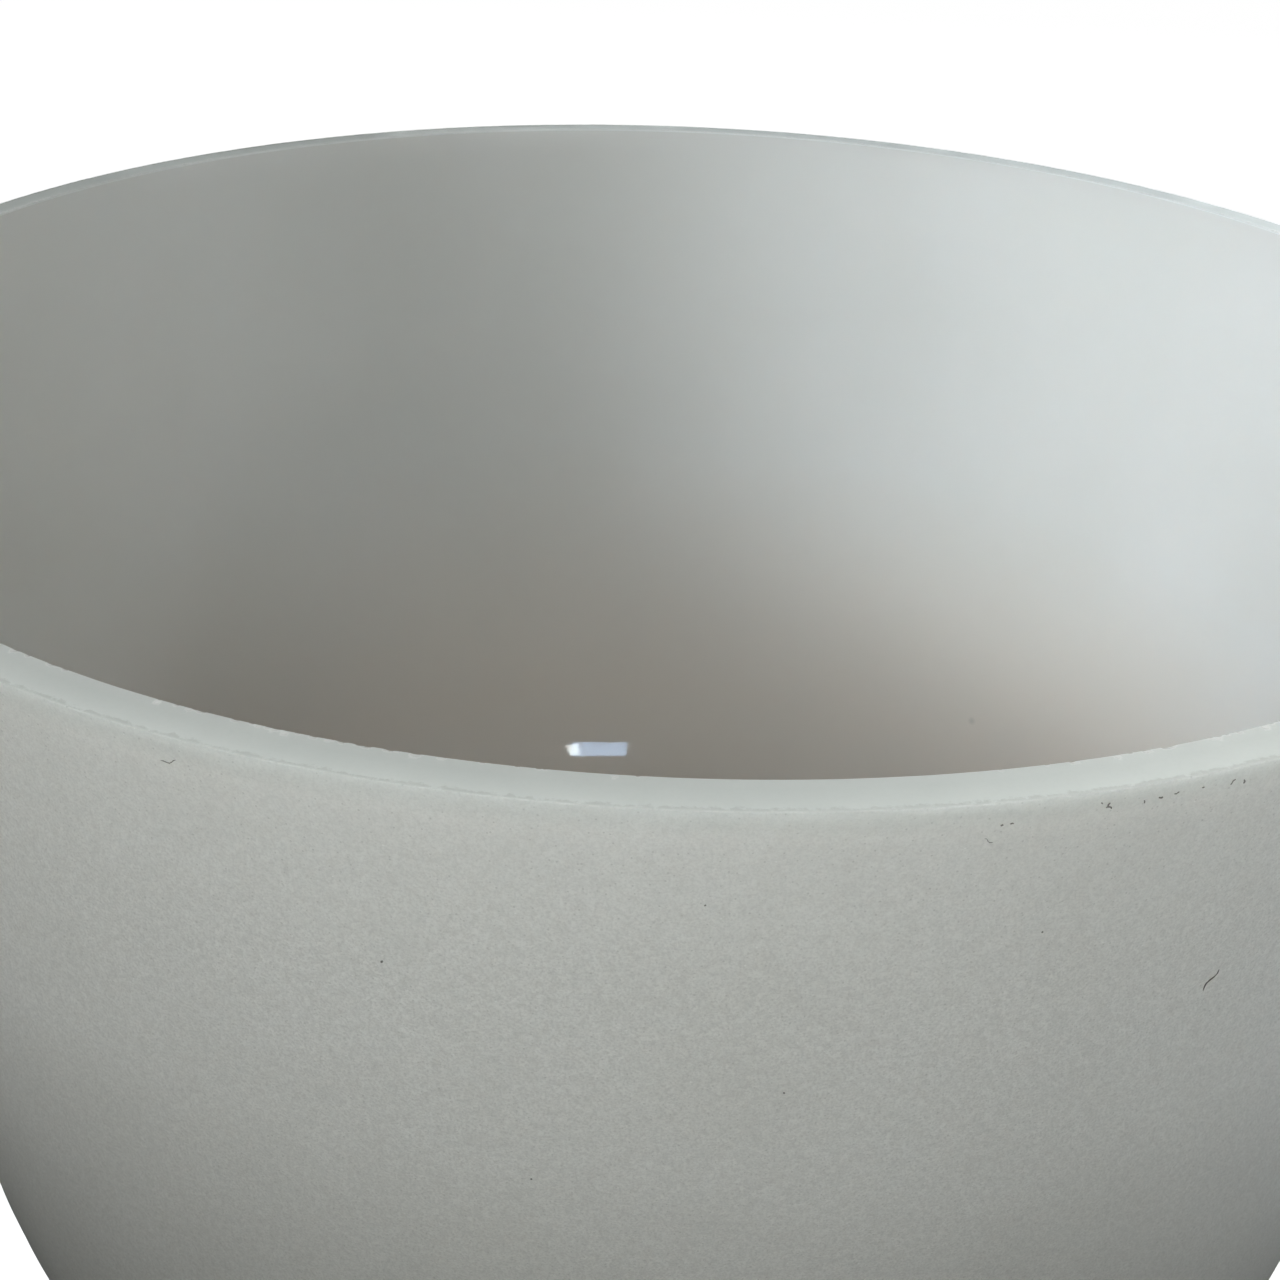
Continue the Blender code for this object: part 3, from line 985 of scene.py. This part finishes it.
def make_floor():
    """A plain floor, white to the camera and nearly black to the light that would bounce off it."""
    bpy.ops.mesh.primitive_plane_add(size=60.0, location=(0.0, 0.0, 0.0))
    floor = bpy.context.active_object
    floor.name = "studio_floor"
    nodes = Nodes("studio_floor")
    nodes.set(Roughness=0.9, Emission_Color=(1.0, 1.0, 1.0, 1.0))
    path = nodes.tree.nodes.new("ShaderNodeLightPath")
    seen = path.outputs["Is Camera Ray"]
    nodes.colour(nodes.mix(seen, FLOOR_BOUNCE, FLOOR_SEEN))
    nodes.put(nodes.math("MULTIPLY", seen, FLOOR_GLOW), nodes.shader.inputs["Emission Strength"])
    floor.data.materials.append(nodes.material)


def make_world():
    """White surroundings: full white to the camera, faint as a reflection, and no light on the object."""
    world = bpy.data.worlds.new("studio")
    world.use_nodes = True
    bpy.context.scene.world = world
    tree = world.node_tree
    background = tree.nodes["Background"]
    background.inputs["Color"].default_value = (1.0, 1.0, 1.0, 1.0)
    path = tree.nodes.new("ShaderNodeLightPath")
    shine = tree.nodes.new("ShaderNodeMapRange")
    shine.inputs["To Min"].default_value = WORLD_LIGHT
    shine.inputs["To Max"].default_value = WORLD_GLOSS
    tree.links.new(path.outputs["Is Glossy Ray"], shine.inputs["Value"])
    strength = tree.nodes.new("ShaderNodeMapRange")
    strength.inputs["To Max"].default_value = 1.0
    tree.links.new(path.outputs["Is Camera Ray"], strength.inputs["Value"])
    tree.links.new(shine.outputs["Result"], strength.inputs["To Min"])
    tree.links.new(strength.outputs["Result"], background.inputs["Strength"])


SPOT_SIZE = 0.03
STRIP_LENGTH = 74.0 * MM
STRIP_WIDTH = 10.0 * MM
STRIP_SPREAD = math.radians(1.5)
STRIP_INWARD = 4.2 * MM
STRIP_RISE = 0.5


def direction(azimuth, elevation):
    """A unit vector, the azimuth counted from +X towards +Y."""
    a, e = math.radians(azimuth), math.radians(elevation)
    return Vector((math.cos(a) * math.cos(e), math.sin(a) * math.cos(e), math.sin(e)))


def rim_point(azimuth, depth=0.0):
    """A point at the rim's radius and that azimuth, that far below the rim."""
    return RIM_RADIUS * direction(azimuth, 0.0) + Vector((0.0, 0.0, bowl_high.z - depth))


def new_lamp(name, kind, watts, colour, mirrored=False):
    """A lamp in the scene, of no size or place yet. The glaze and the rim mirror it or they don't."""
    data = bpy.data.lights.new(name, kind)
    data.energy = watts
    data.color = colour
    lamp = bpy.data.objects.new(name, data)
    bpy.context.scene.collection.objects.link(lamp)
    lamp.visible_glossy = mirrored
    return lamp


def face_from(lamp, target, azimuth, elevation, distance):
    """Put a lamp in that direction from the target, facing it."""
    towards = direction(azimuth, elevation)
    lamp.location = target + towards * distance
    lamp.rotation_euler = towards.to_track_quat("Z", "Y").to_euler()


def set_rectangle(lamp, width, height):
    """Make an area lamp a rectangle of that size."""
    lamp.data.shape = "RECTANGLE"
    lamp.data.size = width
    lamp.data.size_y = height


def add_window(name, target, azimuth, elevation, distance, width, height, radiance, colour=SKY,
               mirrored=False):
    """A rectangular lamp that faces the target. radiance is what its surface shines with. The quartz
    either mirrors it and isn't lit by it, or is lit by it and doesn't mirror it."""
    lamp = new_lamp(name, "AREA", radiance * math.pi * width * height, colour, mirrored)
    set_rectangle(lamp, width, height)
    face_from(lamp, target, azimuth, elevation, distance)
    lamp.visible_diffuse = not mirrored
    return lamp


def add_spot(name, target, azimuth, elevation, reach, blend, watts, colour=SKY, distance=0.9):
    """A round lamp that faces the target, where its beam's radius is reach."""
    lamp = new_lamp(name, "SPOT", watts, colour)
    lamp.data.spot_size = 2.0 * math.atan(reach / distance)
    lamp.data.spot_blend = blend
    lamp.data.shadow_soft_size = SPOT_SIZE
    face_from(lamp, target, azimuth, elevation, distance)


def add_strip(name, azimuth, watts, colour):
    """A narrow lamp straight above the rim, whose beam falls on the ground face and on little else."""
    lamp = new_lamp(name, "AREA", watts, colour)
    set_rectangle(lamp, STRIP_LENGTH, STRIP_WIDTH)
    lamp.data.spread = STRIP_SPREAD
    middle = (RIM_RADIUS - STRIP_INWARD) * direction(azimuth, 0.0)
    lamp.location = middle + Vector((0.0, 0.0, bowl_high.z + STRIP_RISE))
    lamp.rotation_euler = (0.0, 0.0, math.radians(azimuth + 90.0))


CAMERA_DISTANCE = 1.927 * RIM_RADIUS
CAMERA_ELEVATION = math.radians(18.14)
CAMERA_YAW = math.radians(0.92)
CAMERA_PITCH = math.radians(-11.67)
CAMERA_ROLL = math.radians(-2.42)


def turned(vectors, axis, angle):
    """The vectors, turned about an axis."""
    turn = Matrix.Rotation(angle, 3, axis)
    return [turn @ vector for vector in vectors]


def make_camera():
    """A close view over the near rim, 45 mm on full frame, slightly rolled."""
    centre = Vector((0.0, 0.0, bowl_high.z))
    back = Vector((0.0, -math.cos(CAMERA_ELEVATION), math.sin(CAMERA_ELEVATION)))
    eye = centre + CAMERA_DISTANCE * back
    ahead = (centre - eye).normalized()
    right = ahead.cross(Vector((0.0, 0.0, 1.0))).normalized()
    up = right.cross(ahead)
    ahead, right = turned((ahead, right), up, CAMERA_YAW)
    ahead, up = turned((ahead, up), right, CAMERA_PITCH)
    right, up = turned((right, up), ahead, CAMERA_ROLL)
    data = bpy.data.cameras.new("camera")
    data.lens = 45.0
    data.sensor_width = 36.0
    data.clip_start = 0.01
    camera = bpy.data.objects.new("camera", data)
    bpy.context.scene.collection.objects.link(camera)
    camera.matrix_world = Matrix.Translation(eye) @ Matrix((right, up, -ahead)).transposed().to_4x4()
    bpy.context.scene.camera = camera


make_floor()
make_world()
make_camera()

# Daylight from low on the right, which shines through the wall, and a little from the left.
add_spot("sun_behind_right", rim_point(42.0, 0.022), azimuth=42.0, elevation=-4.0,
         reach=0.15, blend=0.6, watts=32.0, colour=SUN)
add_spot("sun_right", rim_point(10.0, 0.02), azimuth=10.0, elevation=-4.0,
         reach=0.16, blend=0.6, watts=17.5, colour=SUN)
add_spot("sky_left", rim_point(178.0, 0.03), azimuth=178.0, elevation=-4.0,
         reach=0.14, blend=0.8, watts=9.9, colour=(0.97, 1.0, 0.98))

# Daylight from the upper left, through the mouth on to the right of the inside.
add_spot("sky_on_inside_far", rim_point(62.0, 0.05), azimuth=235.0, elevation=45.0,
         reach=0.12, blend=1.0, watts=3.3, colour=SUN, distance=0.6)
add_spot("sky_on_inside", rim_point(20.0, 0.06), azimuth=200.0, elevation=50.0,
         reach=0.14, blend=1.0, watts=2.6, colour=SUN, distance=0.6)
add_spot("sky_on_inside_right", rim_point(0.0, 0.07), azimuth=180.0, elevation=52.0,
         reach=0.12, blend=1.0, watts=3.3, colour=SUN, distance=0.6)

# Soft light on the near wall and the rim.
add_window("near_softbox", rim_point(-90.0), azimuth=-90.0, elevation=40.0, distance=0.27,
           width=0.25, height=0.10, radiance=6.1)
add_window("near_right_softbox", rim_point(-58.0), azimuth=-58.0, elevation=40.0, distance=0.25,
           width=0.20, height=0.10, radiance=0.6)
add_window("left_softbox", RIM_CENTRE, azimuth=-130.0, elevation=33.0, distance=0.46,
           width=0.30, height=0.25, radiance=2.07)
add_window("low_left_softbox", rim_point(-140.0, 0.02), azimuth=-145.0, elevation=8.0, distance=0.5,
           width=0.25, height=0.12, radiance=2.15)
add_window("low_right_softbox", rim_point(-50.0), azimuth=-45.0, elevation=8.0, distance=0.35,
           width=0.20, height=0.10, radiance=3.75)
add_spot("low_right", rim_point(-28.0, 0.13), azimuth=-8.0, elevation=5.0,
         reach=0.09, blend=1.0, watts=3.0)
add_spot("over_rim_right", rim_point(-48.0), azimuth=-48.0, elevation=86.0,
         reach=0.11, blend=1.0, watts=9.0, distance=0.8)

# Azimuths along the far rim, and the milliwatts that fall on it there.
FAR_RIM_LIGHT = ((25.0, 0.98), (52.0, 0.70), (79.0, 0.58), (106.0, 0.74), (133.0, 0.46), (160.0, 0.30))
for number, (azimuth, milliwatts) in enumerate(FAR_RIM_LIGHT):
    add_strip("over_rim_far_%d" % number, azimuth, watts=milliwatts / 1000.0, colour=(0.965, 1.0, 0.99))

# A little fill on the foot of the bowl's back.
add_spot("fill_behind", rim_point(110.0, 0.18), azimuth=125.0, elevation=4.0,
         reach=0.11, blend=1.0, watts=1.5)

# What the glazed inside and the rim mirror. GLINT is where the window's glint lies, low on the inside.
GLINT = RIM_CENTRE + Vector((-18.1, 121.0, -176.1)) * MM
add_window("mirrored_room", RIM_CENTRE, azimuth=90.0, elevation=20.0, distance=1.8,
           width=3.0, height=1.3, radiance=0.9, colour=(0.90, 1.0, 0.95), mirrored=True)
window = add_window("mirrored_window", GLINT, azimuth=-75.0, elevation=38.8, distance=2.0,
                    width=0.36, height=0.22, radiance=11.5, colour=(0.50, 0.70, 1.0), mirrored=True)
window.rotation_euler.rotate_axis("Z", math.radians(-9.0))
add_window("mirrored_sky", GLINT, azimuth=-69.1, elevation=38.2, distance=2.0,
           width=0.07, height=0.17, radiance=16.0, colour=(0.95, 1.0, 0.96), mirrored=True)

bpy.context.scene.view_settings.view_transform = "Standard"
